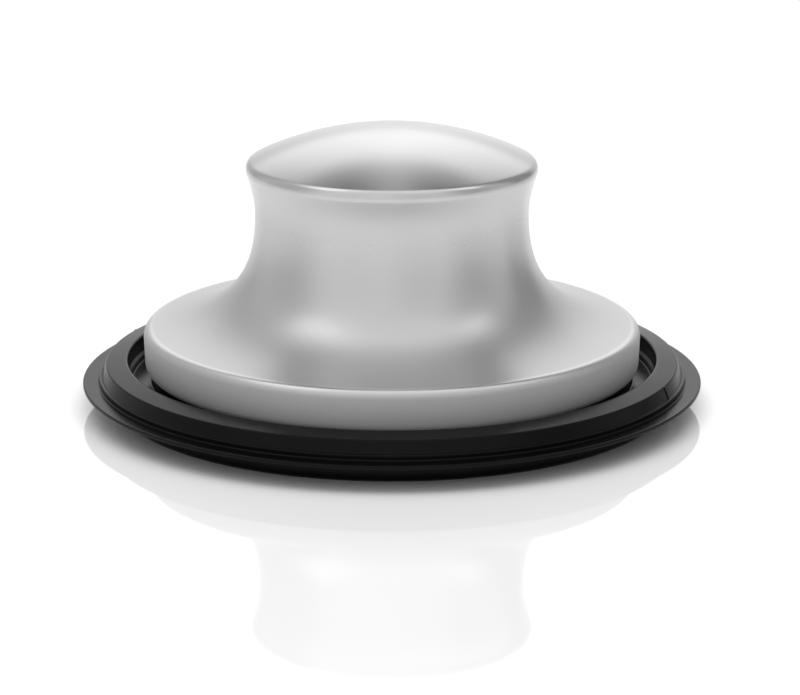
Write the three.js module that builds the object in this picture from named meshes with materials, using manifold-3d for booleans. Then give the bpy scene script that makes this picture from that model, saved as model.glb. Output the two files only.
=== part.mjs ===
// Drain stopper for a kitchen garbage disposal: a drawn steel knob on a flanged body, a rubber
// seal ring, and a clamp plate that one screw pulls up into a post under the knob.
// Millimetres, +Z up, origin at the centre of the circle that the seal stands on.

import * as THREE from 'three';
import { mergeVertices } from 'three/addons/utils/BufferGeometryUtils.js';
import Module from 'manifold-3d';

const wasm = await Module();
wasm.setup();

// Driving dimensions: the whole stopper
const sealDiameter = 85.7; // thin lip that lies on the drain flange
const overallHeight = 38.8;
const standHeight = 0.8; // clamp plate held clear of the surface

// Seal ring
const lipWidth = 2.2;
const lipThickness = 0.5;
const lipHeight = 3.7; // top of the lip above the stand
const ledgeWidth = 0.4;
const ledgeHeight = 4.5;
const landWidth = 3.0; // sloping top of the bead
const landInnerHeight = 6.75;
const landOuterHeight = 6.1;
const wallLean = 0.65; // outer wall leans in by this much
const bandInset = 4.35; // throat band, in from the lip's edge
const bandWidth = 3.0;
const bandRound = 1.1;
const bandRoundStart = -60; // degrees; the round meets the surface in a small flat
const beadStep = 0.4; // step half way down the inner wall
const beadStepHeight = 4.5;
const landEdge = 0.25; // small round at both edges of the land
const lipFillet = 0.6;
const troughWidth = 1.85; // open ring between the bead and the steel
const troughHeight = 3.4;
const webThickness = 1.8;
const seatHeight = 5.1; // raised seat under the steel foot
const seatWebThickness = 2.5;
const sealBoreWidth = 5.0; // seat, from the foot in to the bore

// Steel body and knob
const sheet = 0.8;
const flangeHeight = 11.2;
const flangeRound = 1.3;
const flangeSlope = 9; // degrees below level at the outer edge
const wallDraft = 0.15; // the flange's wall leans in by this much at the foot
const footRound = 1.0;
const footWidth = 3.6;
const knobDiameter = 40;
const waistDiameter = 37.6;
const waistDrop = 6.4; // from the knob's widest circle to the waist
const rimRound = 1.25;
const capRise = 5.6; // knob's crown above its widest circle
const capSkirt = 2.6; // spigot of the cap inside the neck
const curvePull = 0.645; // fullness of the neck's sweep
const rimCurvePull = 0.37; // fullness of the curve up to the rim
const mouthFlat = 0.15; // straight edge of the body's mouth
const rimTuck = 18; // degrees that the round turns in below the widest circle
const seamRound = 0.12; // softened edge of the cap at the seam
const seamRise = 12; // degrees up the rim's round where the softened edge ends

// Post and screw
const postDiameter = 10;
const postPadDiameter = 16;
const postPadThickness = 1.5;
const postWall = 2.2; // least wall round the bore
const postChamfer = 0.5;
const padFillet = 1;
const threadLead = 0.5; // countersink at the bore's mouth
const boreSpare = 1.6; // bore past the screw's tip
const drillPoint = 0.6; // depth of the drill's cone, for its radius
const screwDiameter = 5;
const screwLength = 16;
const threadPitch = 0.8;
const headDiameter = 9.5;
const headHeight = 3.2;
const headSink = 0.6; // head above the plate's underside
const recessWidth = 1.2;
const recessSpan = 4.6;
const recessDepth = 1.9;
const panCrown = 0.62; // rounded share of the head's height
const panFlat = 0.55; // flat share of the head's radius
const panTurn = 0.86; // where the crown steepens, as a share of the head's radius
const panTurnRise = 0.35; // and as a share of the crown's height
const tipTaper = 0.7; // taper at the screw's tip, for its pitch

// Washers and ring on the screw
const washerDiameter = 10;
const washerThickness = 1;
const springDiameter = 9.2;
const springThickness = 1.2;
const springSlit = 0.9;
const glandDiameter = 8.4;
const glandDepth = 1.3;

// Clamp plate
const plateFlange = 3.6; // what the plate reaches under the seal's web
const plateThickness = 1.5;
const plateWeb = 1.5;
const spigotWall = 1.8;
const bossWall = 2.4;
const bossTop = 2.2; // bridge above the gland
const ribCount = 8;
const ribThickness = 1.6;
const ribSink = 0.5; // ribs end this far above the plate's underside
const ribOverlap = 0.3; // ribs run this far into the walls they join
const plateChamfer = 0.3;

// Clearances
const contactGap = 0.1; // between faces that bear on each other
const slideGap = 0.3; // between the seal and the steel or plate beside it
const turnGap = 0.1; // radial, round the turning screw
const washerGap = 0.4; // radial, washers in the plate's recess

const weldDistance = 1e-5; // corners closer than this are one
const sharpestCorner = 0.5; // least cosine of half a bend in the sheet
const ringSides = 48;
const pinSides = 24;

// Worked-out places
const lipRadius = sealDiameter / 2;
const lipRoot = lipRadius - lipWidth;
const bandRadius = lipRadius - bandInset;
const landOuter = lipRoot - ledgeWidth - wallLean;
const landInner = landOuter - landWidth;
const troughOuter = landInner - beadStep;
const flangeRadius = troughOuter - troughWidth;
const footRadius = flangeRadius - wallDraft;
const footHeight = seatHeight + contactGap;
const seatRadius = footRadius - footRound;
const sealBore = seatRadius - sealBoreWidth;
const spigotRadius = sealBore - slideGap;
const plateRadius = spigotRadius + plateFlange;
const knobRadius = knobDiameter / 2;
const waistRadius = waistDiameter / 2;
const rimHeight = overallHeight - capRise;
const waistHeight = rimHeight - waistDrop;

const screwRadius = screwDiameter / 2;
const boreRadius = screwRadius + turnGap;
const cupRadius = Math.max(washerDiameter, headDiameter, springDiameter) / 2 + washerGap;
const headSeat = standHeight + headSink + headHeight;
const springBottom = headSeat + contactGap;
const washerBottom = springBottom + springThickness + contactGap;
const cupTop = washerBottom + washerThickness + contactGap;
const glandTop = cupTop + glandDepth;
const bossHeight = glandTop + bossTop;
const bossRadius = cupRadius + bossWall;
const postBottom = bossHeight + contactGap;

const finish = {
  steel: { color: 0xc4c5c6, roughness: 0.34, metalness: 1 },
  stainless: { color: 0xaeb0b2, roughness: 0.42, metalness: 1 },
  rubber: { color: 0x161617, roughness: 0.62, metalness: 0 },
  nylon: { color: 0x202123, roughness: 0.5, metalness: 0 },
};

const group = new THREE.Group();

function add(name, look, geometry) {
  const mesh = new THREE.Mesh(geometry, new THREE.MeshStandardMaterial(finish[look]));
  mesh.name = name;
  group.add(mesh);
}

function point(r, z) {
  return new THREE.Vector2(r, z);
}

// Points of a circle's arc about (r, z), from one angle to another in degrees
function arc(r, z, radius, from, to, steps) {
  return Array.from({ length: steps + 1 }, (_, i) => {
    const angle = THREE.MathUtils.degToRad(from + ((to - from) * i) / steps);
    return point(r + radius * Math.cos(angle), z + radius * Math.sin(angle));
  });
}

// A closed mesh with shared corners, which manifold-3d and the lathe both need
function welded(geometry) {
  geometry.deleteAttribute('normal');
  geometry.deleteAttribute('uv');
  const merged = mergeVertices(geometry, weldDistance);
  const old = merged.index.array;
  const kept = [];
  for (let i = 0; i < old.length; i += 3) {
    const [a, b, c] = old.slice(i, i + 3);
    if (a !== b && b !== c && c !== a) kept.push(a, b, c);
  }
  merged.setIndex(kept);
  return merged;
}

// Outline of [r, z] points, counter-clockwise, turned about +Z
function turned(outline, sides = ringSides) {
  const closed = outline[0].x > 0 ? [...outline, outline[0].clone()] : outline;
  return welded(new THREE.LatheGeometry(closed, sides).rotateX(Math.PI / 2));
}

function solid(geometry) {
  const mesh = welded(geometry);
  const vertProperties = new Float32Array(mesh.attributes.position.array);
  const triVerts = new Uint32Array(mesh.index.array);
  return new wasm.Manifold(new wasm.Mesh({ numProp: 3, vertProperties, triVerts }));
}

function shape(manifold) {
  const { vertProperties, triVerts } = manifold.getMesh();
  const geometry = new THREE.BufferGeometry();
  geometry.setAttribute('position', new THREE.BufferAttribute(vertProperties, 3));
  geometry.setIndex(new THREE.BufferAttribute(triVerts, 1));
  return geometry;
}

// Sheet of even thickness: an outer line run upwards or inwards, and its copy on the left
function sheetOutline(line, wall) {
  const last = line.length - 1;
  const inner = line.map((p, i) => {
    const into = line[Math.max(i, 1)].clone().sub(line[Math.max(i, 1) - 1]).normalize();
    const out = line[Math.min(i, last - 1) + 1].clone().sub(line[Math.min(i, last - 1)]).normalize();
    const along = into.clone().add(out).normalize();
    const reach = wall / Math.max(along.dot(into), sharpestCorner);
    return point(Math.max(p.x - along.y * reach, 0), p.y + along.x * reach);
  });
  return [...line, ...inner.reverse()];
}

function bezier(start, pullA, pullB, end, steps) {
  return new THREE.CubicBezierCurve(start, pullA, pullB, end).getPoints(steps);
}

// Circle's arc that joins the dome to the rounded rim: the dome's centre and radius
function domeCircle() {
  const reach = knobRadius - rimRound;
  const radius = (reach ** 2 + capRise ** 2 - rimRound ** 2) / (2 * (capRise - rimRound));
  const centre = overallHeight - radius;
  const tangent = THREE.MathUtils.radToDeg(Math.atan2(rimHeight - centre, reach));
  return { radius, centre, tangent };
}

function domeUndersideAt(r) {
  const { radius, centre } = domeCircle();
  return centre + Math.sqrt((radius - sheet) ** 2 - r ** 2);
}

// Domed cap: crown, rounded rim, and a skirt that drops inside the neck
function knobCap() {
  const { radius, centre, tangent } = domeCircle();
  const skirtOuter = waistRadius - sheet - contactGap;
  const skirtInner = skirtOuter - sheet;
  const seam = rimHeight + contactGap / 2;
  const edge = THREE.MathUtils.radToDeg(Math.asin(Math.min(skirtInner / (radius - sheet), 1)));
  return turned([
    point(skirtInner, seam - capSkirt),
    point(skirtOuter, seam - capSkirt),
    point(skirtOuter, seam),
    point(knobRadius - seamRound, seam),
    ...arc(knobRadius - rimRound, rimHeight, rimRound, seamRise, tangent, 5),
    ...arc(0, centre, radius, tangent, 90, 10).slice(1, -1),
    point(0, overallHeight),
    point(0, overallHeight - sheet),
    ...arc(0, centre, radius - sheet, 90, 90 - edge, 6).slice(1),
  ]);
}

// Drawn body: foot turned in under the seal's edge, wall, flange, swept neck and open mouth
function steelBody() {
  const bend = flangeRadius - flangeRound;
  const seam = rimHeight - contactGap / 2;
  const rim = arc(knobRadius - rimRound, seam - mouthFlat, rimRound, -rimTuck, 0, 2);
  const shoulder = arc(bend, flangeHeight - flangeRound, flangeRound, 0, 90 - flangeSlope, 4);
  const sweepStart = shoulder[shoulder.length - 1];
  const waist = point(waistRadius, waistHeight);
  const outward = (waist.x - sweepStart.x) * curvePull;
  const lean = Math.tan(THREE.MathUtils.degToRad(flangeSlope));
  const upward = (waistHeight - sweepStart.y) * curvePull;
  const rimPull = (rim[0].y - waistHeight) * rimCurvePull;
  const rimLean = rimPull * Math.tan(THREE.MathUtils.degToRad(rimTuck));
  return turned(sheetOutline([
    point(footRadius - footWidth, footHeight),
    ...arc(footRadius - footRound, footHeight + footRound, footRound, -90, 0, 3),
    ...shoulder,
    ...bezier(
      sweepStart,
      point(sweepStart.x + outward, sweepStart.y - outward * lean),
      point(waist.x, waist.y - upward),
      waist,
      9,
    ).slice(1),
    ...bezier(
      waist,
      point(waist.x, waist.y + rimPull),
      point(rim[0].x - rimLean, rim[0].y - rimPull),
      rim[0],
      4,
    ).slice(1),
    ...rim.slice(1),
    point(knobRadius, seam),
  ], sheet));
}

// Round post with a weld pad under the crown and a blind threaded bore for the screw
function mountingPost() {
  const padRadius = postPadDiameter / 2;
  const radius = Math.max(postDiameter / 2, boreRadius + postWall);
  const top = domeUndersideAt(padRadius) - contactGap;
  const boreTop = headSeat + screwLength + boreSpare;
  return turned([
    point(boreRadius, postBottom + threadLead),
    point(boreRadius + threadLead, postBottom),
    point(radius - postChamfer, postBottom),
    point(radius, postBottom + postChamfer),
    point(radius, top - postPadThickness - padFillet),
    point(radius + padFillet, top - postPadThickness),
    point(padRadius, top - postPadThickness),
    point(padRadius, top),
    point(0, top),
    point(0, boreTop + boreRadius * drillPoint),
    point(boreRadius, boreTop),
  ], pinSides);
}

// Moulded rubber ring: seat and web under the steel, bead with a sloping land, thin lip, throat band
function sealRing() {
  const bandInner = bandRadius - bandWidth;
  const webBottom = troughHeight - webThickness;
  const recessRadius = plateRadius + slideGap;
  const seatBottom = seatHeight - seatWebThickness;
  const lipBottom = lipHeight - lipThickness;
  return turned([
    point(sealBore, seatBottom),
    point(recessRadius, seatBottom),
    point(recessRadius, webBottom),
    point(bandInner, webBottom),
    point(bandInner, bandRound / 2),
    point(bandInner + bandRound / 2, 0),
    point(bandRadius - bandRound, 0),
    ...arc(bandRadius - bandRound, bandRound, bandRound, bandRoundStart, 0, 3),
    point(bandRadius, lipBottom - lipFillet),
    ...arc(bandRadius + lipFillet, lipBottom - lipFillet, lipFillet, 180, 90, 2).slice(1),
    point(lipRadius, lipBottom),
    point(lipRadius, lipHeight),
    point(lipRoot, lipHeight),
    point(lipRoot, ledgeHeight),
    point(lipRoot - ledgeWidth, ledgeHeight),
    point(landOuter, landOuterHeight),
    point(landOuter - landEdge, landOuterHeight + landEdge / 2),
    point(landInner + landEdge, landInnerHeight),
    point(landInner, landInnerHeight - landEdge),
    point(landInner, beadStepHeight),
    point(troughOuter, beadStepHeight - beadStep),
    point(troughOuter, troughHeight),
    point(seatRadius, troughHeight),
    point(seatRadius, seatHeight),
    point(sealBore, seatHeight),
  ]);
}

// Moulded plate: flange under the web, spigot in the seal's bore, web, and a boss for the screw
function clampPlate() {
  const spigotTop = footHeight;
  const webBottom = spigotTop - plateWeb;
  const spigotInner = spigotRadius - spigotWall;
  const gland = glandDiameter / 2;
  const flangeTop = Math.min(standHeight + plateThickness, seatHeight - seatWebThickness - contactGap);
  const body = solid(turned([
    point(cupRadius, standHeight),
    point(bossRadius - plateChamfer, standHeight),
    point(bossRadius, standHeight + plateChamfer),
    point(bossRadius, webBottom),
    point(spigotInner, webBottom),
    point(spigotInner, standHeight),
    point(plateRadius - plateChamfer, standHeight),
    point(plateRadius, standHeight + plateChamfer),
    point(plateRadius, flangeTop),
    point(spigotRadius, flangeTop),
    point(spigotRadius, spigotTop),
    point(bossRadius, spigotTop),
    point(bossRadius, bossHeight - plateChamfer),
    point(bossRadius - plateChamfer, bossHeight),
    point(boreRadius, bossHeight),
    point(boreRadius, glandTop),
    point(gland, glandTop),
    point(gland, cupTop),
    point(cupRadius, cupTop),
  ]));
  const length = spigotInner - bossRadius + ribOverlap * 2;
  const height = webBottom - standHeight - ribSink;
  const ribs = Array.from({ length: ribCount }, (_, i) => solid(
    new THREE.BoxGeometry(length, ribThickness, height + ribOverlap)
      .translate(bossRadius + length / 2 - ribOverlap, 0, webBottom - (height - ribOverlap) / 2)
      .rotateZ(((i + 0.5) * 2 * Math.PI) / ribCount),
  ));
  return shape(ribs.reduce((joined, rib) => joined.add(rib), body));
}

// Pan-head screw, head down, with a cross recess
function clampScrew() {
  const headRadius = headDiameter / 2;
  const headBottom = headSeat - headHeight;
  const tip = headSeat + screwLength;
  const crown = headHeight * panCrown;
  const screw = solid(turned([
    point(0, headBottom),
    point(headRadius * panFlat, headBottom),
    point(headRadius * panTurn, headBottom + crown * panTurnRise),
    point(headRadius, headBottom + crown),
    point(headRadius, headSeat),
    point(screwRadius, headSeat),
    point(screwRadius, tip - threadPitch),
    point(screwRadius - threadPitch * tipTaper, tip),
    point(0, tip),
  ], pinSides));
  const arms = [0, Math.PI / 2].map((turn) => solid(
    new THREE.BoxGeometry(recessSpan, recessWidth, recessDepth * 2)
      .translate(0, 0, headBottom)
      .rotateZ(turn),
  ));
  return shape(arms.reduce((left, arm) => left.subtract(arm), screw));
}

function flatWasher() {
  const hole = boreRadius;
  const radius = washerDiameter / 2;
  return turned([
    point(hole, washerBottom),
    point(radius, washerBottom),
    point(radius, washerBottom + washerThickness),
    point(hole, washerBottom + washerThickness),
  ], pinSides);
}

// Split ring, pressed flat under the head
function springWasher() {
  const radius = springDiameter / 2;
  const hole = boreRadius;
  const outerAngle = Math.asin(springSlit / 2 / radius);
  const innerAngle = Math.asin(springSlit / 2 / hole);
  const outline = new THREE.Shape();
  outline.absarc(0, 0, radius, outerAngle, 2 * Math.PI - outerAngle, false);
  outline.absarc(0, 0, hole, 2 * Math.PI - innerAngle, innerAngle, true);
  const ring = new THREE.ExtrudeGeometry(outline, {
    depth: springThickness,
    bevelEnabled: false,
    curveSegments: pinSides / 2,
  });
  return welded(ring.translate(0, 0, springBottom));
}

// O-ring squeezed into the gland round the screw
function screwRing() {
  const inner = boreRadius;
  const outer = glandDiameter / 2 - turnGap;
  const halfWidth = (outer - inner) / 2;
  const halfHeight = glandDepth / 2;
  const round = Math.min(halfWidth, halfHeight);
  const middle = (inner + outer) / 2;
  const side = halfWidth - round;
  const height = cupTop + halfHeight;
  return turned([
    ...arc(middle - side, height, round - contactGap / 2, 90, 270, 6),
    ...arc(middle + side, height, round - contactGap / 2, -90, 90, 6),
  ], pinSides);
}

add('knob_cap', 'steel', knobCap());
add('steel_body', 'steel', steelBody());
add('mounting_post', 'stainless', mountingPost());
add('seal_ring', 'rubber', sealRing());
add('clamp_plate', 'nylon', clampPlate());
add('screw_o_ring', 'rubber', screwRing());
add('flat_washer', 'stainless', flatWasher());
add('spring_washer', 'stainless', springWasher());
add('clamp_screw', 'stainless', clampScrew());

export default group;
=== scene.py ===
from math import acos, asin, atan2, cos, degrees, pi, radians, sin, tan

import bmesh
import bpy
from mathutils import Matrix, Vector
from mathutils.geometry import interpolate_bezier


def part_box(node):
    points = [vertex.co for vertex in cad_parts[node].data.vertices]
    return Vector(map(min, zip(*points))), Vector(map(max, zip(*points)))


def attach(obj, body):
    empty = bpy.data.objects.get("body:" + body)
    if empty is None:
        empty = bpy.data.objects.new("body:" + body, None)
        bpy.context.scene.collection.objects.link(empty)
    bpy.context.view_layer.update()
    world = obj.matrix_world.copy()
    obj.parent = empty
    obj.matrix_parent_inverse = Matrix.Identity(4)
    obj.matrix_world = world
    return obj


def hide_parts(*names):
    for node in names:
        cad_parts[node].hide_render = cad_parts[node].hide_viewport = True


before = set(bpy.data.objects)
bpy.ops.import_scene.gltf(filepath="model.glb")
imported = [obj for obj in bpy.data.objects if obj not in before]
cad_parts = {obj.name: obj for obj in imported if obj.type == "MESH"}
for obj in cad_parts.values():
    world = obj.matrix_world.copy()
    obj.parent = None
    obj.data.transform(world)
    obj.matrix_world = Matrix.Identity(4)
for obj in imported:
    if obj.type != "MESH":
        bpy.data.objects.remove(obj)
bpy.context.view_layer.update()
mm = 0.001
sameSpot = 0.0005 * mm  # corners closer than this are merged
print("frame loaded:", ", ".join(sorted(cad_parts)))


def boxInMm(node):
    low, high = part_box(node)
    return [v / mm for v in low], [v / mm for v in high]


capLow, capHigh = boxInMm("knob_cap")
bodyLow, bodyHigh = boxInMm("steel_body")
postLow, postHigh = boxInMm("mounting_post")
sealHigh = boxInMm("seal_ring")[1]
plateLow, plateHigh = boxInMm("clamp_plate")
ringLow, ringHigh = boxInMm("screw_o_ring")
flatLow, flatHigh = boxInMm("flat_washer")
springLow, springHigh = boxInMm("spring_washer")
screwLow, screwHigh = boxInMm("clamp_screw")


# an outline is a list of (distance from the axis, height) in millimetres
def arcPoints(r, z, radius, start, end, steps):
    points = []
    for i in range(steps + 1):
        angle = radians(start + (end - start) * i / steps)
        points.append((r + radius * cos(angle), z + radius * sin(angle)))
    return points


def roundCorner(before, corner, after, radius, segments):
    here = Vector(corner)
    into = (here - Vector(before)).normalized()
    out = (Vector(after) - here).normalized()
    turn = atan2(into.x * out.y - into.y * out.x, into.dot(out))
    reach = radius * tan(abs(turn) / 2)
    flatEnd = reach * 1.4  # a corner here holds the flat beside the round
    centre = here + (out - into).normalized() * radius / cos(turn / 2)
    spoke = here - into * reach - centre
    points = [here - into * flatEnd]
    for i in range(segments + 1):
        points.append(centre + Matrix.Rotation(turn * i / segments, 2) @ spoke)
    points.append(here + out * flatEnd)
    return [tuple(p) for p in points]


def outlineFrom(corners, segments=5):
    # a corner's third value, where it has one, is the radius that rounds it
    points = []
    for i, corner in enumerate(corners):
        if len(corner) == 3:
            before = corners[i - 1][:2]
            after = corners[(i + 1) % len(corners)][:2]
            points += roundCorner(before, corner[:2], after, corner[2], segments)
        else:
            points.append(corner)
    return points


def spinOutline(outline, closed=True, sides=192, turn=2 * pi, rise=0):
    bm = bmesh.new()
    verts = [bm.verts.new((r * mm, 0, z * mm)) for r, z in outline]
    edges = [bm.edges.new(pair) for pair in zip(verts, verts[1:])]
    if closed:
        edges.append(bm.edges.new((verts[-1], verts[0])))
    whole = turn == 2 * pi and not rise
    section = verts + edges
    if closed and not whole:
        section.append(bm.faces.new(verts))
    bmesh.ops.spin(
        bm, geom=section, cent=(0, 0, 0), axis=(0, 0, 1), dvec=(0, 0, rise * mm / sides),
        angle=turn, steps=sides, use_merge=whole,
    )
    bmesh.ops.remove_doubles(bm, verts=bm.verts, dist=sameSpot)
    bmesh.ops.recalc_face_normals(bm, faces=bm.faces)
    return bm


def finishPiece(name, bm, body, node, material, sharpAbove=50):
    mesh = bpy.data.meshes.new(name)
    bm.to_mesh(mesh)
    bm.free()
    mesh.shade_smooth()
    mesh.set_sharp_from_angle(angle=radians(sharpAbove))
    mesh.materials.append(material)
    piece = bpy.data.objects.new(name, mesh)
    bpy.context.scene.collection.objects.link(piece)
    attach(piece, body)
    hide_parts(node)
    print(name, len(mesh.polygons), "faces")


def toolObject(bm, name):
    mesh = bpy.data.meshes.new(name)
    bm.to_mesh(mesh)
    bm.free()
    tool = bpy.data.objects.new(name, mesh)
    bpy.context.scene.collection.objects.link(tool)
    return tool


def addTo(bm, other):
    mesh = bpy.data.meshes.new("extra")
    other.to_mesh(mesh)
    other.free()
    bm.from_mesh(mesh)
    bpy.data.meshes.remove(mesh)


def joinOrCut(bm, toolBm, operation):
    base = toolObject(bm, "base")
    tool = toolObject(toolBm, "tool")
    step = base.modifiers.new("joinOrCut", "BOOLEAN")
    step.operation = operation
    step.solver = "EXACT"
    step.object = tool
    graph = bpy.context.evaluated_depsgraph_get()
    result = bmesh.new()
    result.from_object(base, graph)
    for thing in (base, tool):
        old = thing.data
        bpy.data.objects.remove(thing)
        bpy.data.meshes.remove(old)
    bmesh.ops.remove_doubles(result, verts=result.verts, dist=sameSpot)
    return result


def addNode(tree, kind, x, y, **settings):
    node = tree.nodes.new(kind)
    node.location = (x, y)
    for key, value in settings.items():
        setattr(node, key, value)
    return node


def newGroup(name, inputs, outputs):
    tree = bpy.data.node_groups.new(name, "ShaderNodeTree")
    for socketName, value in inputs.items():
        socket = tree.interface.new_socket(socketName, in_out="INPUT", socket_type="NodeSocketFloat")
        socket.default_value = value
    for socketName in outputs:
        tree.interface.new_socket(socketName, in_out="OUTPUT", socket_type="NodeSocketFloat")
    return tree


def turnedLinesGroup():
    # fine lines that run round the axis, as a brush or a lathe leaves them
    tree = newGroup("turnedLines", {"Around": 4.0, "Across": 6000.0, "Detail": 3.0}, ["Lines"])
    link = tree.links.new
    given = addNode(tree, "NodeGroupInput", -900, 0)
    place = addNode(tree, "ShaderNodeTexCoord", -900, -200)
    flat = addNode(tree, "ShaderNodeVectorMath", -700, -100, operation="MULTIPLY")
    flat.inputs[1].default_value = (1, 1, 0)
    heading = addNode(tree, "ShaderNodeVectorMath", -520, 0, operation="NORMALIZE")
    reach = addNode(tree, "ShaderNodeVectorMath", -520, -160, operation="LENGTH")
    wrapped = addNode(tree, "ShaderNodeVectorMath", -340, 0, operation="SCALE")
    outward = addNode(tree, "ShaderNodeMath", -340, -160, operation="MULTIPLY")
    stack = addNode(tree, "ShaderNodeCombineXYZ", -180, -160)
    both = addNode(tree, "ShaderNodeVectorMath", -20, 0, operation="ADD")
    split = addNode(tree, "ShaderNodeSeparateXYZ", -700, -340)
    upward = addNode(tree, "ShaderNodeMath", -340, -340, operation="MULTIPLY")
    noise = addNode(tree, "ShaderNodeTexNoise", 160, 0, noise_dimensions="4D")
    noise.inputs["Scale"].default_value = 1
    noise.inputs["Roughness"].default_value = 0.65
    result = addNode(tree, "NodeGroupOutput", 360, 0)
    link(place.outputs["Object"], flat.inputs[0])
    link(flat.outputs[0], heading.inputs[0])
    link(flat.outputs[0], reach.inputs[0])
    link(heading.outputs[0], wrapped.inputs[0])
    link(given.outputs["Around"], wrapped.inputs["Scale"])
    link(reach.outputs["Value"], outward.inputs[0])
    link(given.outputs["Across"], outward.inputs[1])
    link(outward.outputs[0], stack.inputs["Z"])
    link(wrapped.outputs[0], both.inputs[0])
    link(stack.outputs[0], both.inputs[1])
    link(place.outputs["Object"], split.inputs[0])
    link(split.outputs["Z"], upward.inputs[0])
    link(given.outputs["Across"], upward.inputs[1])
    link(both.outputs[0], noise.inputs["Vector"])
    link(upward.outputs[0], noise.inputs["W"])
    link(given.outputs["Detail"], noise.inputs["Detail"])
    link(noise.outputs["Fac"], result.inputs["Lines"])
    return tree


def handlingGroup():
    # broad, faint marks of handling: 0 is clean and 1 is dull
    tree = newGroup("handlingMarks", {"Size": 60.0, "Least": 0.45, "Most": 0.75}, ["Marks"])
    link = tree.links.new
    given = addNode(tree, "NodeGroupInput", -600, 0)
    place = addNode(tree, "ShaderNodeTexCoord", -600, -160)
    noise = addNode(tree, "ShaderNodeTexNoise", -400, 0)
    noise.inputs["Detail"].default_value = 4
    noise.inputs["Distortion"].default_value = 0.6
    ramp = addNode(tree, "ShaderNodeMapRange", -200, 0)
    result = addNode(tree, "NodeGroupOutput", 0, 0)
    link(place.outputs["Object"], noise.inputs["Vector"])
    link(given.outputs["Size"], noise.inputs["Scale"])
    link(noise.outputs["Fac"], ramp.inputs["Value"])
    link(given.outputs["Least"], ramp.inputs["From Min"])
    link(given.outputs["Most"], ramp.inputs["From Max"])
    link(ramp.outputs[0], result.inputs["Marks"])
    return tree


def mouldGrainGroup():
    # skin of a moulding: fine pimples over faint flow
    tree = newGroup("mouldGrain", {"Fine": 4000.0, "Flow": 250.0, "FlowShare": 0.3}, ["Grain"])
    link = tree.links.new
    given = addNode(tree, "NodeGroupInput", -600, 0)
    place = addNode(tree, "ShaderNodeTexCoord", -600, -160)
    fine = addNode(tree, "ShaderNodeTexNoise", -400, 100)
    fine.inputs["Detail"].default_value = 3
    flow = addNode(tree, "ShaderNodeTexNoise", -400, -160)
    flow.inputs["Detail"].default_value = 2
    blend = addNode(tree, "ShaderNodeMix", -180, 0)
    result = addNode(tree, "NodeGroupOutput", 0, 0)
    link(place.outputs["Object"], fine.inputs["Vector"])
    link(place.outputs["Object"], flow.inputs["Vector"])
    link(given.outputs["Fine"], fine.inputs["Scale"])
    link(given.outputs["Flow"], flow.inputs["Scale"])
    link(given.outputs["FlowShare"], blend.inputs["Factor"])
    link(fine.outputs["Fac"], blend.inputs["A"])
    link(flow.outputs["Fac"], blend.inputs["B"])
    link(blend.outputs["Result"], result.inputs["Grain"])
    return tree


def nearRingGroup():
    # 1 on a circle round the axis and 0 further off than Reach, all in metres
    tree = newGroup("nearRing", {"Radius": 0.02, "Height": 0.0, "Reach": 0.001}, ["Near"])
    link = tree.links.new
    given = addNode(tree, "NodeGroupInput", -900, 0)
    place = addNode(tree, "ShaderNodeTexCoord", -900, -200)
    flat = addNode(tree, "ShaderNodeVectorMath", -720, -100, operation="MULTIPLY")
    flat.inputs[1].default_value = (1, 1, 0)
    reach = addNode(tree, "ShaderNodeVectorMath", -540, -100, operation="LENGTH")
    split = addNode(tree, "ShaderNodeSeparateXYZ", -720, -300)
    outward = addNode(tree, "ShaderNodeMath", -360, -100, operation="SUBTRACT")
    upward = addNode(tree, "ShaderNodeMath", -360, -300, operation="SUBTRACT")
    offset = addNode(tree, "ShaderNodeCombineXYZ", -180, -200)
    away = addNode(tree, "ShaderNodeVectorMath", 0, -200, operation="LENGTH")
    fade = addNode(tree, "ShaderNodeMapRange", 180, -100, interpolation_type="SMOOTHSTEP")
    fade.inputs["To Min"].default_value = 1
    fade.inputs["To Max"].default_value = 0
    result = addNode(tree, "NodeGroupOutput", 360, 0)
    link(place.outputs["Object"], flat.inputs[0])
    link(flat.outputs[0], reach.inputs[0])
    link(place.outputs["Object"], split.inputs[0])
    link(reach.outputs["Value"], outward.inputs[0])
    link(given.outputs["Radius"], outward.inputs[1])
    link(split.outputs["Z"], upward.inputs[0])
    link(given.outputs["Height"], upward.inputs[1])
    link(outward.outputs[0], offset.inputs["X"])
    link(upward.outputs[0], offset.inputs["Y"])
    link(offset.outputs[0], away.inputs[0])
    link(away.outputs["Value"], fade.inputs["Value"])
    link(given.outputs["Reach"], fade.inputs["From Max"])
    link(fade.outputs[0], result.inputs["Near"])
    return tree


def useGroup(tree, group, x, y, **values):
    node = addNode(tree, "ShaderNodeGroup", x, y, node_tree=group)
    for name, value in values.items():
        node.inputs[name].default_value = value
    return node


def newMaterial(name):
    material = bpy.data.materials.new(name)
    material.use_nodes = True
    shader = material.node_tree.nodes["Principled BSDF"]
    return material, material.node_tree, shader


def mapTo(tree, source, low, high, x, y, start=0.0, end=1.0):
    ramp = addNode(tree, "ShaderNodeMapRange", x, y)
    ramp.inputs["From Min"].default_value = start
    ramp.inputs["From Max"].default_value = end
    ramp.inputs["To Min"].default_value = low
    ramp.inputs["To Max"].default_value = high
    tree.links.new(source, ramp.inputs["Value"])
    return ramp.outputs[0]


def mixGrey(tree, source, dark, light, x, y):
    mix = addNode(tree, "ShaderNodeMix", x, y, data_type="RGBA")
    mix.inputs["A"].default_value = (*dark, 1)
    mix.inputs["B"].default_value = (*light, 1)
    tree.links.new(source, mix.inputs["Factor"])
    return mix.outputs["Result"]


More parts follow.
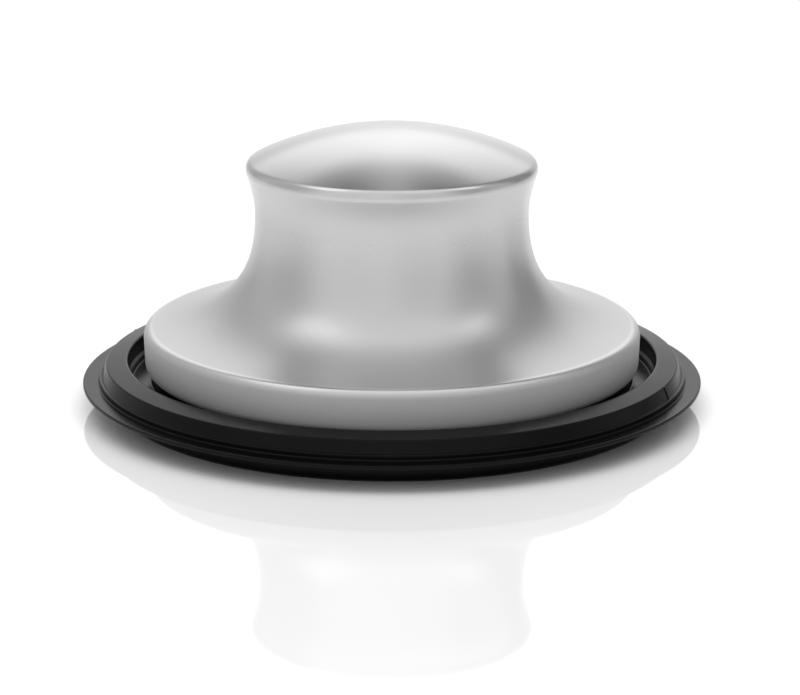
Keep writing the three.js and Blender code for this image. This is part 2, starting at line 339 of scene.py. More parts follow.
def bumpFrom(tree, shader, source, strength, depth, x, y):
    bump = addNode(tree, "ShaderNodeBump", x, y)
    bump.inputs["Strength"].default_value = strength
    bump.inputs["Distance"].default_value = depth * mm
    tree.links.new(source, bump.inputs["Height"])
    tree.links.new(bump.outputs["Normal"], shader.inputs["Normal"])


turnedLines = turnedLinesGroup()
handlingMarks = handlingGroup()
mouldGrain = mouldGrainGroup()
nearRing = nearRingGroup()


def addUp(tree, first, second, x, y, operation="ADD"):
    total = addNode(tree, "ShaderNodeMath", x, y, operation=operation)
    tree.links.new(first, total.inputs[0])
    tree.links.new(second, total.inputs[1])
    return total.outputs[0]


def polishAndHighlightEdges(tree, rings, x, y):
    # the polished edges, which also carry a painted highlight, each a circle given as radius, height
    # and reach in millimetres
    polishAndHighlight = None
    for i, (radius, height, reach) in enumerate(rings):
        ring = useGroup(
            tree, nearRing, x, y - 180 * i, Radius=radius * mm, Height=height * mm, Reach=reach * mm,
        )
        near = ring.outputs["Near"]
        polishAndHighlight = addUp(tree, polishAndHighlight, near, x + 180, y - 180 * i, "MAXIMUM") if polishAndHighlight else near
    return polishAndHighlight


def byHeight(tree, colour, rough, polishAndHighlight, look):
    # the shell grows more satin downwards, and its upright wall is rougher than the rest and painted a
    # darker grey, a painted shade for the dark rubber it faces
    link = tree.links.new
    place = addNode(tree, "ShaderNodeTexCoord", -1500, -900)
    split = addNode(tree, "ShaderNodeSeparateXYZ", -1300, -900)
    link(place.outputs["Object"], split.inputs[0])
    height = split.outputs["Z"]
    wallEdge = (look["wallTop"] - look["wallFade"]) * mm, look["wallTop"] * mm
    wall = mapTo(tree, height, 1, 0, -1000, 500, *wallEdge)
    # painted shade: the upright wall, all but its edge rings, is coloured a darker grey
    paintedShadeMask = addNode(tree, "ShaderNodeMath", -640, 500, operation="SUBTRACT", use_clamp=True)
    paintedWallShade = addNode(tree, "ShaderNodeMix", -460, 300, data_type="RGBA")
    paintedWallShade.inputs["B"].default_value = (*look["paintedWallShadeTone"], 1)
    link(wall, paintedShadeMask.inputs[0])
    link(polishAndHighlight, paintedShadeMask.inputs[1])
    link(paintedShadeMask.outputs[0], paintedWallShade.inputs["Factor"])
    link(colour, paintedWallShade.inputs["A"])
    satinEnds = look["satinFoot"] * mm, look["satinTop"] * mm
    satin = mapTo(tree, height, look["satin"], 0, -1000, -800, *satinEnds)
    wallSatin = mapTo(tree, wall, 0, look["wallSatin"], -1000, -1000)
    rough = addUp(tree, rough, satin, -560, -300)
    rough = addUp(tree, rough, wallSatin, -440, -300)
    return paintedWallShade.outputs["Result"], rough


def steelFinish(name, look):
    material, tree, shader = newMaterial(name)
    lines = useGroup(tree, turnedLines, -1300, 200, Around=look["around"], Across=look["across"])
    marks = useGroup(tree, handlingMarks, -1300, -100, Size=look["markSize"])
    polishAndHighlight = polishAndHighlightEdges(tree, look["edges"], -1300, -320)
    tone = mapTo(tree, lines.outputs["Lines"], 0, look["lineTone"], -1000, 300, 0.3, 0.7)
    # painted highlight: the edge rings are coloured lighter, a bright line all round
    tone = addUp(tree, tone, polishAndHighlight, -800, 300, "MAXIMUM")
    colour = mixGrey(tree, tone, look["dark"], look["light"], -640, 300)
    brushed = mapTo(tree, lines.outputs["Lines"], *look["roughness"], -1000, -160, 0.3, 0.7)
    dulled = mapTo(tree, marks.outputs["Marks"], 0, look["dulling"], -1000, -380)
    burnished = mapTo(tree, polishAndHighlight, 0, -look["burnish"], -1000, -600)
    rough = addUp(tree, brushed, dulled, -800, -160)
    rough = addUp(tree, rough, burnished, -680, -300)
    if "satin" in look:
        colour, rough = byHeight(tree, colour, rough, polishAndHighlight, look)
    tree.links.new(colour, shader.inputs["Base Color"])
    tree.links.new(rough, shader.inputs["Roughness"])
    bumpFrom(tree, shader, lines.outputs["Lines"], look["bump"], look["depth"], -300, -460)
    shader.inputs["Metallic"].default_value = 1
    shader.inputs["Anisotropic"].default_value = look["anisotropic"]
    shader.inputs["Anisotropic Rotation"].default_value = look["turnOfLines"]
    return material


def mouldedFinish(name, look):
    material, tree, shader = newMaterial(name)
    link = tree.links.new
    grain = useGroup(tree, mouldGrain, -900, 200, Fine=look["fine"], FlowShare=look["flowShare"])
    marks = useGroup(tree, handlingMarks, -900, -100, Size=look["markSize"])
    tone = mixGrey(tree, marks.outputs["Marks"], look["dark"], look["light"], -480, 300)
    rough = mapTo(tree, grain.outputs["Grain"], *look["roughness"], -700, 60, 0.3, 0.7)
    link(tone, shader.inputs["Base Color"])
    link(rough, shader.inputs["Roughness"])
    bumpFrom(tree, shader, grain.outputs["Grain"], look["bump"], look["depth"], -300, -260)
    shader.inputs["Specular IOR Level"].default_value = look["specular"]
    return material


brushedShell = steelFinish("brushedShell", {
    "dark": (0.59, 0.59, 0.59), "light": (0.70, 0.70, 0.70), "lineTone": 0.05,
    "around": 0.7, "across": 9000.0, "markSize": 40.0,
    "roughness": (0.225, 0.235), "dulling": 0.02,
    "bump": 0.02, "depth": 0.005, "anisotropic": 0.5, "turnOfLines": 0.25,
    # the edge rings are polished smoother and coloured lighter, a painted highlight
    "edges": [(33.6, 11.1, 0.8), (34.3, 6.2, 0.25)], "burnish": 0.14,
    "satinTop": 32.0, "satinFoot": 11.0, "satin": 0.16,
    # the wall's tone is a painted shade, a darker grey on the upright wall
    "wallTop": 10.9, "wallFade": 0.7, "paintedWallShadeTone": (0.57, 0.57, 0.57), "wallSatin": 0.28,
})
turnedSteel = steelFinish("turnedSteel", {
    "dark": (0.42, 0.42, 0.43), "light": (0.60, 0.60, 0.61), "lineTone": 0.6,
    "around": 2.0, "across": 3500.0, "markSize": 200.0,
    "roughness": (0.22, 0.36), "dulling": 0.1,
    "bump": 0.25, "depth": 0.03, "anisotropic": 0.4, "turnOfLines": 0.25,
    # the edge rings are polished smoother and coloured lighter, a painted highlight
    "edges": [(4.7, 1.4, 0.6), (4.9, 6.0, 0.3)], "burnish": 0.08,
})
sealRubber = mouldedFinish("sealRubber", {
    "dark": (0.0015, 0.0015, 0.0016), "light": (0.003, 0.003, 0.0032),
    "fine": 3500.0, "flowShare": 0.35, "markSize": 90.0,
    "roughness": (0.17, 0.27), "bump": 0.05, "depth": 0.03, "specular": 0.12,
})
mouldedNylon = mouldedFinish("mouldedNylon", {
    "dark": (0.012, 0.012, 0.013), "light": (0.022, 0.022, 0.024),
    "fine": 5500.0, "flowShare": 0.15, "markSize": 130.0,
    "roughness": (0.42, 0.56), "bump": 0.3, "depth": 0.06, "specular": 0.45,
})
print("finishes made")


# the grip's own sizes in millimetres, with rimTuck in degrees and rimPull a share of the flare
grip = {
    "across": 40.0, "crownRise": 5.6, "rimRound": 1.25, "sheet": 0.8,
    "waistAcross": 37.6, "waistDrop": 6.4, "rimTuck": 18, "rimPull": 0.37,
    "seamGap": 0.004, "mouthFlat": 0.15, "skirtGap": 0.1,
}
gripRadius = grip["across"] / 2
rimHeight = capHigh[2] - grip["crownRise"]
roundCentre = gripRadius - grip["rimRound"]
crownRadius = (
    (roundCentre ** 2 + grip["crownRise"] ** 2 - grip["rimRound"] ** 2)
    / (2 * (grip["crownRise"] - grip["rimRound"]))
)
crownCentre = capHigh[2] - crownRadius
crownEdge = degrees(atan2(rimHeight - crownCentre, roundCentre))


def makeKnobCap():
    seam = rimHeight + grip["seamGap"] / 2
    seamAngle = degrees(asin(grip["seamGap"] / 2 / grip["rimRound"]))
    skirtOuter = grip["waistAcross"] / 2 - grip["sheet"] - grip["skirtGap"]
    skirtInner = skirtOuter - grip["sheet"]
    hollow = crownRadius - grip["sheet"]
    corners = [
        (skirtInner, capLow[2]),
        (skirtOuter, capLow[2], 0.2),
        (skirtOuter, seam, 0.1),
        *arcPoints(roundCentre, rimHeight, grip["rimRound"], seamAngle, crownEdge, 12),
        *arcPoints(0, crownCentre, crownRadius, crownEdge, 90, 40)[1:-1],
        (0, capHigh[2]),
        (0, capHigh[2] - grip["sheet"]),
        *arcPoints(0, crownCentre, hollow, 90, degrees(acos(skirtInner / hollow)), 14)[1:],
    ]
    bm = spinOutline(outlineFrom(corners))
    finishPiece("knobCap", bm, "top", "knob_cap", brushedShell)


# slope is in degrees, and sweepPull is a share of the sweep up to the waist
flange = {
    "top": 11.2, "round": 1.3, "slope": 9, "draft": 0.15,
    "footRound": 1.0, "footReach": 3.6, "sweepPull": 0.645, "edgeRound": 0.12,
}


def makeSteelBody():
    flangeRadius = bodyHigh[0]
    footRadius = flangeRadius - flange["draft"]
    foot = bodyLow[2]
    turnedIn = flange["footRound"]
    shoulder = arcPoints(
        flangeRadius - flange["round"], flange["top"] - flange["round"], flange["round"],
        0, 90 - flange["slope"], 10,
    )
    waist = (grip["waistAcross"] / 2, rimHeight - grip["waistDrop"])
    outward = (shoulder[-1][0] - waist[0]) * flange["sweepPull"]
    upward = (waist[1] - shoulder[-1][1]) * flange["sweepPull"]
    seam = rimHeight - grip["seamGap"] / 2
    rim = arcPoints(
        roundCentre, seam - grip["mouthFlat"], grip["rimRound"], -grip["rimTuck"], 0, 6,
    )
    rimPull = (rim[0][1] - waist[1]) * grip["rimPull"]
    climb = outward * tan(radians(flange["slope"]))
    sweep = interpolate_bezier(
        Vector(shoulder[-1]),
        Vector(shoulder[-1]) + Vector((-outward, climb)),
        Vector(waist) - Vector((0, upward)),
        Vector(waist),
        48,
    )
    flare = interpolate_bezier(
        Vector(waist),
        Vector(waist) + Vector((0, rimPull)),
        Vector(rim[0]) - Vector((rimPull * tan(radians(grip["rimTuck"])), rimPull)),
        Vector(rim[0]),
        16,
    )
    line = [
        (footRadius - flange["footReach"], foot),
        *arcPoints(footRadius - turnedIn, foot + turnedIn, turnedIn, -90, 0, 8),
        *shoulder,
        *[tuple(p) for p in sweep[1:]],
        *[tuple(p) for p in flare[1:]],
        *rim[1:],
        (gripRadius, seam),
    ]
    bm = spinOutline(line, closed=False)
    bmesh.ops.solidify(bm, geom=bm.faces[:], thickness=grip["sheet"] * mm)
    bmesh.ops.recalc_face_normals(bm, faces=bm.faces)
    footEdges = [  # the mouth's edges stay as they are, so that the cap closes on them
        e for e in bm.edges
        if e.calc_face_angle() > radians(60) and e.verts[0].co.z < flange["top"] * mm
    ]
    bmesh.ops.bevel(
        bm, geom=footEdges, offset=flange["edgeRound"] * mm, affect="EDGES",
        segments=3, profile=0.5, material=-1,
    )
    finishPiece("steelBody", bm, "top", "steel_body", brushedShell)


post = {
    "across": 10.0, "chamfer": 0.5, "pad": 1.5, "padFillet": 1.0,
    "boreGap": 0.1, "borePast": 1.6, "drillPoint": 0.6, "countersink": 0.5,
}


def makeMountingPost():
    radius = post["across"] / 2
    padRadius = postHigh[0]
    bore = screw["across"] / 2 + post["boreGap"]
    padBottom = postHigh[2] - post["pad"]
    boreTop = screwHigh[2] + post["borePast"]
    corners = [
        (bore, postLow[2] + post["countersink"], 0.1),
        (bore + post["countersink"], postLow[2], 0.1),
        (radius - post["chamfer"], postLow[2], 0.1),
        (radius, postLow[2] + post["chamfer"], 0.1),
        (radius, padBottom, post["padFillet"]),
        (padRadius, padBottom, 0.15),
        (padRadius, postHigh[2], 0.15),
        (0, postHigh[2]),
        (0, boreTop + bore * post["drillPoint"]),
        (bore, boreTop, 0.1),
    ]
    bm = spinOutline(outlineFrom(corners, segments=4), sides=96)
    finishPiece("mountingPost", bm, "top", "mounting_post", turnedSteel)


# headRound is a share of the head's height
screw = {
    "across": 5.0, "length": 16.0, "pitch": 0.8, "threadDepth": 0.42,
    "headRound": 0.62, "crossSpan": 4.6, "crossWidth": 1.15, "crossDepth": 1.9,
    "plainNeck": 1.2, "neckTaper": 0.3, "threadStart": 1.7, "threadEnd": 1.0, "tipTaper": 0.5,
    "ridgeSink": 0.05, "crestWidth": 0.12, "ridgeWidth": 0.704, "stepsPerTurn": 32,
    "neckRelief": 0.1, "crossTaper": (0.5, 0.8, 1),
}


def threadRidge(bottom, top, core):
    crest = screw["across"] / 2
    root = core - screw["ridgeSink"]
    halfRidge = screw["ridgeWidth"] / 2
    halfCrest = screw["crestWidth"] / 2
    section = [
        (root, bottom - halfRidge), (crest, bottom - halfCrest),
        (crest, bottom + halfCrest), (root, bottom + halfRidge),
    ]
    turns = (top - bottom) / screw["pitch"]
    sides = int(turns * screw["stepsPerTurn"])
    return spinOutline(section, sides=sides, turn=2 * pi * turns, rise=top - bottom)


def crossArm(turn, height):
    arm = bmesh.new()
    verts = bmesh.ops.create_cube(arm, size=mm)["verts"]
    size = (screw["crossSpan"], screw["crossWidth"], screw["crossDepth"] * 2)
    bmesh.ops.scale(arm, vec=size, verts=verts)
    bmesh.ops.scale(arm, vec=screw["crossTaper"], verts=[v for v in verts if v.co.z > 0])
    bmesh.ops.rotate(arm, cent=(0, 0, 0), matrix=Matrix.Rotation(turn, 3, "Z"), verts=verts)
    bmesh.ops.translate(arm, vec=(0, 0, height * mm), verts=verts)
    return arm


def makeClampScrew():
    seat = screwHigh[2] - screw["length"]
    headRadius = screwHigh[0]
    headBottom = screwLow[2]
    headHeight = seat - headBottom
    core = screw["across"] / 2 - screw["threadDepth"]
    crownStart = headHeight * screw["headRound"]
    crown = interpolate_bezier(
        Vector((0, headBottom)),
        Vector((headRadius * 0.6, headBottom)),
        Vector((headRadius, headBottom + crownStart * 0.3)),
        Vector((headRadius, headBottom + crownStart)),
        16,
    )
    corners = [
        *[tuple(p) for p in crown],
        (headRadius, seat, 0.2),
        (screw["across"] / 2 - screw["neckRelief"], seat, 0.2),
        (core + screw["neckRelief"], seat + screw["plainNeck"]),
        (core, seat + screw["plainNeck"] + screw["neckTaper"]),
        (core, screwHigh[2] - screw["tipTaper"]),
        (core - screw["tipTaper"], screwHigh[2], 0.1),
        (0, screwHigh[2]),
    ]
    bm = spinOutline(outlineFrom(corners), sides=96)
    for turn in (0, pi / 2):
        bm = joinOrCut(bm, crossArm(turn, headBottom), "DIFFERENCE")
    ridge = threadRidge(seat + screw["threadStart"], screwHigh[2] - screw["threadEnd"], core)
    addTo(bm, ridge)
    finishPiece("clampScrew", bm, "screw", "clamp_screw", turnedSteel, 35)


# mouldLineAt is in degrees round from +X
seal = {
    "lipWidth": 2.2, "lipThickness": 0.5, "lipHeight": 3.7, "lipFillet": 0.6,
    "ledgeWidth": 0.4, "ledgeHeight": 4.5, "wallLean": 0.65, "landWidth": 3.0, "landDrop": 0.6,
    "bandInset": 4.35, "bandWidth": 3.0, "bandRound": 1.1,
    "beadStep": 0.4, "beadStepHeight": 4.5, "troughHeight": 3.4, "webBottom": 1.6,
    "seatInset": 1.15, "seatWidth": 5.0, "seatHeight": 5.1, "seatBottom": 2.6,
    "mouldLineAt": -22, "mouldLineWidth": 0.28, "mouldLineProud": 0.24,
    "mouldLineRound": 0.06, "plateGap": 0.3,
}


def makeSealRing():
    lipRadius = sealHigh[0]
    lipRoot = lipRadius - seal["lipWidth"]
    band = lipRadius - seal["bandInset"]
    bandInner = band - seal["bandWidth"]
    ledge = lipRoot - seal["ledgeWidth"]
    landOuter = ledge - seal["wallLean"]
    landInner = landOuter - seal["landWidth"]
    landHigh = sealHigh[2]
    landLow = landHigh - seal["landDrop"]
    trough = landInner - seal["beadStep"]
    seat = bodyHigh[0] - seal["seatInset"]
    bore = seat - seal["seatWidth"]
    recess = plateHigh[0] + seal["plateGap"]
    lipBottom = seal["lipHeight"] - seal["lipThickness"]
    corners = [
        (bore, seal["seatBottom"], 0.2),
        (recess, seal["seatBottom"], 0.3),
        (recess, seal["webBottom"], 0.25),
        (bandInner, seal["webBottom"], 0.4),
        (bandInner, 0, 0.55),
        (band, 0, seal["bandRound"]),
        (band, lipBottom, seal["lipFillet"]),
        (lipRadius, lipBottom, 0.12),
        (lipRadius, seal["lipHeight"], 0.18),
        (lipRoot, seal["lipHeight"], 0.16),
        (lipRoot, seal["ledgeHeight"], 0.14),
        (ledge, seal["ledgeHeight"], 0.1),
        (landOuter, landLow, 0.3),
        (landInner, landHigh, 0.3),
        (landInner, seal["beadStepHeight"], 0.14),
        (trough, seal["beadStepHeight"] - seal["beadStep"], 0.12),
        (trough, seal["troughHeight"], 0.3),
        (seat, seal["troughHeight"], 0.3),
        (seat, seal["seatHeight"], 0.25),
        (bore, seal["seatHeight"], 0.2),
    ]
    bm = spinOutline(outlineFrom(corners), sides=240)
    for turn in (seal["mouldLineAt"], seal["mouldLineAt"] + 180):  # where the mould's halves met
        addTo(bm, mouldLine(radians(turn), ledge, landOuter, seal["ledgeHeight"], landLow))
    finishPiece("sealRing", bm, "base", "seal_ring", sealRubber)


def mouldLine(turn, footRadius, topRadius, footHeight, topHeight):
    fin = bmesh.new()
    verts = bmesh.ops.create_cube(fin, size=mm)["verts"]
    size = (seal["mouldLineProud"], seal["mouldLineWidth"], topHeight - footHeight)
    bmesh.ops.scale(fin, vec=size, verts=verts)
    upright = [e for e in fin.edges if abs(e.verts[0].co.z - e.verts[1].co.z) > 0.5 * mm]
    bmesh.ops.bevel(
        fin, geom=upright, offset=seal["mouldLineRound"] * mm, affect="EDGES", segments=2,
        profile=0.5, material=-1,
    )
    for v in fin.verts:
        v.co.x += (topRadius if v.co.z > 0 else footRadius) * mm
    bmesh.ops.translate(fin, vec=(0, 0, (footHeight + topHeight) / 2 * mm), verts=fin.verts)
    bmesh.ops.rotate(fin, cent=(0, 0, 0), matrix=Matrix.Rotation(turn, 3, "Z"), verts=fin.verts)
    return fin


plate = {
    "flange": 3.6, "flangeTop": 2.3, "web": 1.5, "spigotWall": 1.8, "bossWall": 2.4,
    "glandAcross": 8.4, "glandDepth": 1.3, "cupAcross": 10.8, "ribs": 8, "ribThickness": 1.6,
    "ribSink": 0.5, "ribRound": 0.3, "joinDepth": 0.3,
    "ejectorAcross": 3.2, "ejectorHeight": 0.12, "ejectorSink": 0.1, "fitGap": 0.1,
}


def makeClampPlate():
    edge = plateHigh[0]
    bottom = plateLow[2]
    spigot = edge - plate["flange"]
    spigotInner = spigot - plate["spigotWall"]
    spigotTop = bodyLow[2]
    webBottom = spigotTop - plate["web"]
    cup = plate["cupAcross"] / 2
    boss = cup + plate["bossWall"]
    hole = screw["across"] / 2 + plate["fitGap"]
    gland = plate["glandAcross"] / 2
    cupTop = flatHigh[2] + plate["fitGap"]
    glandTop = cupTop + plate["glandDepth"]
    corners = [
        (cup, bottom, 0.2),
        (boss, bottom, 0.3),
        (boss, webBottom, 0.4),
        (spigotInner, webBottom, 0.4),
        (spigotInner, bottom, 0.3),
        (edge, bottom, 0.35),
        (edge, plate["flangeTop"], 0.2),
        (spigot, plate["flangeTop"], 0.15),
        (spigot, spigotTop, 0.3),
        (boss, spigotTop, 0.5),
        (boss, plateHigh[2], 0.4),
        (hole, plateHigh[2], 0.15),
        (hole, glandTop, 0.1),
        (gland, glandTop, 0.15),
        (gland, cupTop, 0.1),
        (cup, cupTop, 0.2),
    ]
    bm = spinOutline(outlineFrom(corners, segments=4), sides=160)
    for i in range(plate["ribs"]):
        turn = (i + 0.5) * 2 * pi / plate["ribs"]
        bm = joinOrCut(bm, plateRib(turn, boss, spigotInner, bottom, webBottom), "UNION")
    for i in range(plate["ribs"]):
        addTo(bm, ejectorMark(i * 2 * pi / plate["ribs"], (boss + spigotInner) / 2, webBottom))
    finishPiece("clampPlate", bm, "base", "clamp_plate", mouldedNylon, 35)


def plateRib(turn, start, end, bottom, top):
    rib = bmesh.new()
    verts = bmesh.ops.create_cube(rib, size=mm)["verts"]
    joint = plate["joinDepth"]  # how far the rib runs into what it joins
    height = top + joint - bottom - plate["ribSink"]
    size = (end - start + 2 * joint, plate["ribThickness"], height)
    bmesh.ops.scale(rib, vec=size, verts=verts)
    lower = [
        e for e in rib.edges
        if all(v.co.z < 0 for v in e.verts) and abs(e.verts[0].co.x - e.verts[1].co.x) > mm
    ]
    bmesh.ops.bevel(
        rib, geom=lower, offset=plate["ribRound"] * mm, affect="EDGES", segments=3,
        profile=0.5, material=-1,
    )
    middle = ((start + end) / 2 * mm, 0, (top + joint - height / 2) * mm)
    bmesh.ops.translate(rib, vec=middle, verts=rib.verts)
    bmesh.ops.rotate(rib, cent=(0, 0, 0), matrix=Matrix.Rotation(turn, 3, "Z"), verts=rib.verts)
    return rib


def ejectorMark(turn, reach, height):
    disc = bmesh.new()
    radius = plate["ejectorAcross"] / 2 * mm
    bmesh.ops.create_cone(
        disc, cap_ends=True, segments=32, radius1=radius * 0.96, radius2=radius,
        depth=(plate["ejectorHeight"] + plate["ejectorSink"]) * mm,
    )
    middle = Vector((reach * cos(turn), reach * sin(turn), height - plate["ejectorHeight"] / 2)) * mm
    bmesh.ops.translate(disc, vec=middle, verts=disc.verts)
    return disc


washer = {"ringGap": 0.12, "flatGap": 0.15, "springGap": 0.12, "springSlit": 12}  # slit in degrees


def makeScrewRing():
    inner, outer = screw["across"] / 2 + washer["ringGap"], ringHigh[0]
    middle, half = (inner + outer) / 2, (outer - inner) / 2
    height = (ringLow[2] + ringHigh[2]) / 2
    rise = (ringHigh[2] - ringLow[2]) / 2
    section = arcPoints(0, 0, 1, 0, 360, 28)[:-1]
    outline = [(middle + r * half, height + z * rise) for r, z in section]
    bm = spinOutline(outline, sides=96)
    finishPiece("screwRing", bm, "base", "screw_o_ring", sealRubber)


def makeFlatWasher():
    hole = screw["across"] / 2 + washer["flatGap"]
    corners = [
        (hole, flatLow[2], 0.1), (flatHigh[0], flatLow[2], 0.18),
        (flatHigh[0], flatHigh[2], 0.1), (hole, flatHigh[2], 0.1),
    ]
    bm = spinOutline(outlineFrom(corners, segments=3), sides=96)
    finishPiece("flatWasher", bm, "base", "flat_washer", turnedSteel)


def makeSpringWasher():
    hole = screw["across"] / 2 + washer["springGap"]
    corners = [
        (hole, springLow[2], 0.15), (springHigh[0], springLow[2], 0.15),
        (springHigh[0], springHigh[2], 0.15), (hole, springHigh[2], 0.15),
    ]
    outline = outlineFrom(corners, segments=3)
    slit = radians(washer["springSlit"])
    bm = spinOutline(outline, sides=92, turn=2 * pi - slit)
    half = Matrix.Rotation(slit / 2, 3, "Z")
    bmesh.ops.rotate(bm, cent=(0, 0, 0), matrix=half, verts=bm.verts)
    finishPiece("springWasher", bm, "base", "spring_washer", turnedSteel)


makeKnobCap()
makeSteelBody()
makeMountingPost()
makeClampScrew()
makeSealRing()
makeClampPlate()
makeScrewRing()
makeFlatWasher()
makeSpringWasher()
print("pieces made")


# lengths in metres, the lamp's power in watts and the tent's level against white
studio = {
    "floorAcross": 6.0, "floorTone": 0.95, "floorRoughness": 0.04, "floorGloss": 0.9, "tent": 1.06,
    "lampPlace": (0, 0.1, 1.2), "lampAcross": 1.2, "lampPower": 6,
}
# each card of the tent: heading, half width, side fade, low, high, end fade in degrees, then its level
cards = {
    "front": (-10, 10, 50, -90, 65, 24, -0.11),
    "frontLeft": (-55, 10, 45, -90, 40, 22, -0.09),
    "left": (-100, 10, 45, -90, 40, 22, -0.42),
    "frontRight": (40, 10, 45, -90, 40, 22, -0.21),
    "right": (85, 10, 40, -90, 40, 22, -0.43),
    "rightFlag": (126, 6, 20, -90, 60, 20, -0.6),
    "backRight": (152, 8, 20, -90, 60, 20, -0.35),
    "backLeft": (-150, 8, 25, -90, 60, 20, -0.43),
    "backHigh": (180, 14, 18, 22, 40, 10, 0.55),
    "gapLow": (180, 28, 26, 53, 60, 8, -0.36),
    "gapHigh": (180, 32, 26, 64, 80, 6, -0.5),
    "roof": (0, 180, 1, 80, 91, 10, 0.1),
    "leftBox": (-86, 14, 8, 50, 70, 6, 0.7),
    "rightBox": (88, 5, 5, 45, 60, 4, 1.0),
}


def makeFloor():
    bm = bmesh.new()
    bmesh.ops.create_grid(bm, x_segments=1, y_segments=1, size=studio["floorAcross"] / 2)
    mesh = bpy.data.meshes.new("floor")
    bm.to_mesh(mesh)
    bm.free()
    material, _, shader = newMaterial("paleFloor")
    shader.inputs["Base Color"].default_value = (*[studio["floorTone"]] * 3, 1)
    shader.inputs["Roughness"].default_value = studio["floorRoughness"]
    shader.inputs["Specular IOR Level"].default_value = studio["floorGloss"]
    mesh.materials.append(material)
    floor = bpy.data.objects.new("floor", mesh)
    bpy.context.scene.collection.objects.link(floor)


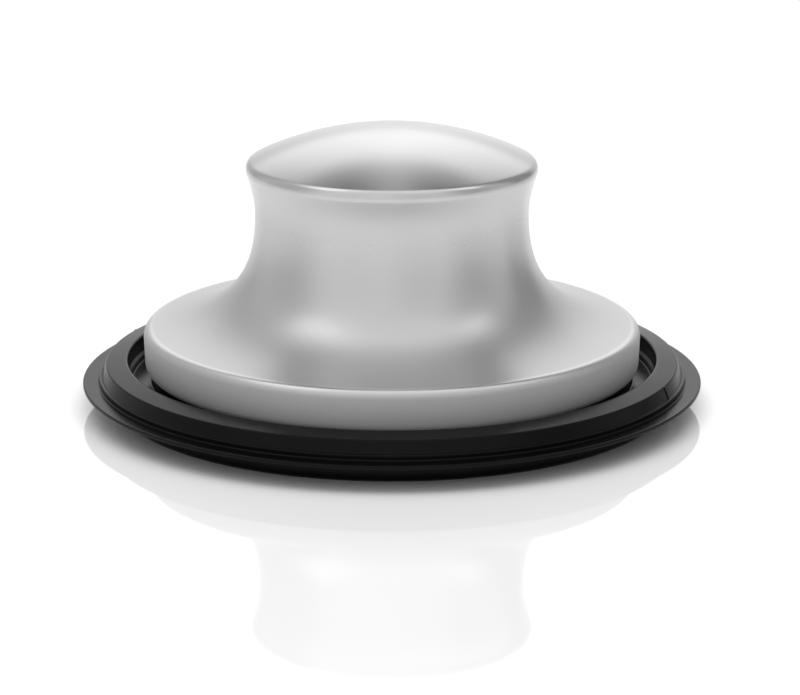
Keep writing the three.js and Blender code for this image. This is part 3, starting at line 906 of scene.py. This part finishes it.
def softCardGroup():
    # a card of the tent, as a soft window in heading and height, both in radians
    tree = newGroup("softCard", {
        "Heading": 0.0, "HalfWidth": 0.3, "SideSoft": 0.3,
        "Low": 0.0, "High": 0.5, "EndSoft": 0.2, "Level": 1.0,
    }, ["Light"])
    link = tree.links.new
    given = addNode(tree, "NodeGroupInput", -1100, 0)
    place = addNode(tree, "ShaderNodeTexCoord", -1100, -300)
    split = addNode(tree, "ShaderNodeSeparateXYZ", -900, -300)
    forward = addNode(tree, "ShaderNodeMath", -720, -200, operation="MULTIPLY")
    forward.inputs[1].default_value = -1
    heading = addNode(tree, "ShaderNodeMath", -540, -200, operation="ARCTAN2")
    away = addNode(tree, "ShaderNodeMath", -360, -200, operation="SUBTRACT")
    around = addNode(tree, "ShaderNodeMath", -180, -200, operation="WRAP")
    around.inputs[1].default_value = pi
    around.inputs[2].default_value = -pi
    aside = addNode(tree, "ShaderNodeMath", 0, -200, operation="ABSOLUTE")
    height = addNode(tree, "ShaderNodeMath", -540, -500, operation="ARCSINE")
    sideEnd = addNode(tree, "ShaderNodeMath", -180, 0, operation="ADD")
    bottom = addNode(tree, "ShaderNodeMath", -360, -420, operation="SUBTRACT")
    top = addNode(tree, "ShaderNodeMath", -360, -600, operation="ADD")
    side = addNode(tree, "ShaderNodeMapRange", 200, -100, interpolation_type="SMOOTHSTEP")
    lower = addNode(tree, "ShaderNodeMapRange", 200, -350, interpolation_type="SMOOTHSTEP")
    upper = addNode(tree, "ShaderNodeMapRange", 200, -600, interpolation_type="SMOOTHSTEP")
    across = addNode(tree, "ShaderNodeMath", 400, -200, operation="MULTIPLY")
    window = addNode(tree, "ShaderNodeMath", 560, -300, operation="MULTIPLY")
    lit = addNode(tree, "ShaderNodeMath", 720, -200, operation="MULTIPLY")
    result = addNode(tree, "NodeGroupOutput", 900, 0)
    link(place.outputs["Generated"], split.inputs[0])
    link(split.outputs["Y"], forward.inputs[0])
    link(split.outputs["X"], heading.inputs[0])
    link(forward.outputs[0], heading.inputs[1])
    link(heading.outputs[0], away.inputs[0])
    link(given.outputs["Heading"], away.inputs[1])
    link(away.outputs[0], around.inputs[0])
    link(around.outputs[0], aside.inputs[0])
    link(split.outputs["Z"], height.inputs[0])
    link(given.outputs["HalfWidth"], sideEnd.inputs[0])
    link(given.outputs["SideSoft"], sideEnd.inputs[1])
    link(given.outputs["Low"], bottom.inputs[0])
    link(given.outputs["EndSoft"], bottom.inputs[1])
    link(given.outputs["High"], top.inputs[0])
    link(given.outputs["EndSoft"], top.inputs[1])
    link(aside.outputs[0], side.inputs["Value"])
    link(sideEnd.outputs[0], side.inputs["From Min"])
    link(given.outputs["HalfWidth"], side.inputs["From Max"])
    link(height.outputs[0], lower.inputs["Value"])
    link(bottom.outputs[0], lower.inputs["From Min"])
    link(given.outputs["Low"], lower.inputs["From Max"])
    link(height.outputs[0], upper.inputs["Value"])
    link(top.outputs[0], upper.inputs["From Min"])
    link(given.outputs["High"], upper.inputs["From Max"])
    link(side.outputs[0], across.inputs[0])
    link(lower.outputs[0], across.inputs[1])
    link(across.outputs[0], window.inputs[0])
    link(upper.outputs[0], window.inputs[1])
    link(window.outputs[0], lit.inputs[0])
    link(given.outputs["Level"], lit.inputs[1])
    link(lit.outputs[0], result.inputs["Light"])
    return tree


def makeWorld():
    world = bpy.data.worlds.new("tent")
    world.use_nodes = True
    tree = world.node_tree
    back = tree.nodes["Background"]
    softCard = softCardGroup()
    total = addNode(tree, "ShaderNodeValue", -600, 0)
    total.outputs[0].default_value = studio["tent"]
    light = total.outputs[0]
    for i, card in enumerate(cards.values()):
        heading, halfWidth, sideSoft, low, high, endSoft, level = card
        down = -250 * (i + 1)
        node = useGroup(
            tree, softCard, -600, down, Heading=radians(heading), HalfWidth=radians(halfWidth),
            SideSoft=radians(sideSoft), Low=radians(low), High=radians(high), EndSoft=radians(endSoft),
            Level=level,
        )
        light = addUp(tree, light, node.outputs["Light"], -350, down)
    tree.links.new(light, back.inputs["Strength"])
    back.inputs["Color"].default_value = (1, 1, 1, 1)
    bpy.context.scene.world = world


def makeLamp():
    data = bpy.data.lights.new("topBox", "AREA")
    data.shape = "RECTANGLE"
    data.size = studio["lampAcross"]
    data.size_y = studio["lampAcross"]
    data.energy = studio["lampPower"]
    light = bpy.data.objects.new("topBox", data)
    light.location = studio["lampPlace"]
    light.rotation_euler = (-light.location).to_track_quat("-Z", "Y").to_euler()
    light.visible_glossy = False  # lights the floor and leaves no spot in the steel
    bpy.context.scene.collection.objects.link(light)


# lengths in metres, but the lens and the sensor in millimetres
view = {
    "away": 0.450, "height": 0.13173, "downDegrees": 15.427,
    "lens": 151.19, "sensor": 36.0, "shift": 0.0101,
}


def makeCamera():
    data = bpy.data.cameras.new("camera")
    data.lens = view["lens"]
    data.sensor_width = view["sensor"]
    data.shift_x = view["shift"]
    data.clip_start = 0.01
    camera = bpy.data.objects.new("camera", data)
    camera.location = (0, -view["away"], view["height"])
    camera.rotation_euler = (radians(90 - view["downDegrees"]), 0, 0)
    bpy.context.scene.collection.objects.link(camera)
    bpy.context.scene.camera = camera


makeFloor()
makeWorld()
makeLamp()
makeCamera()
bpy.context.scene.view_settings.view_transform = "Standard"
print("studio set")
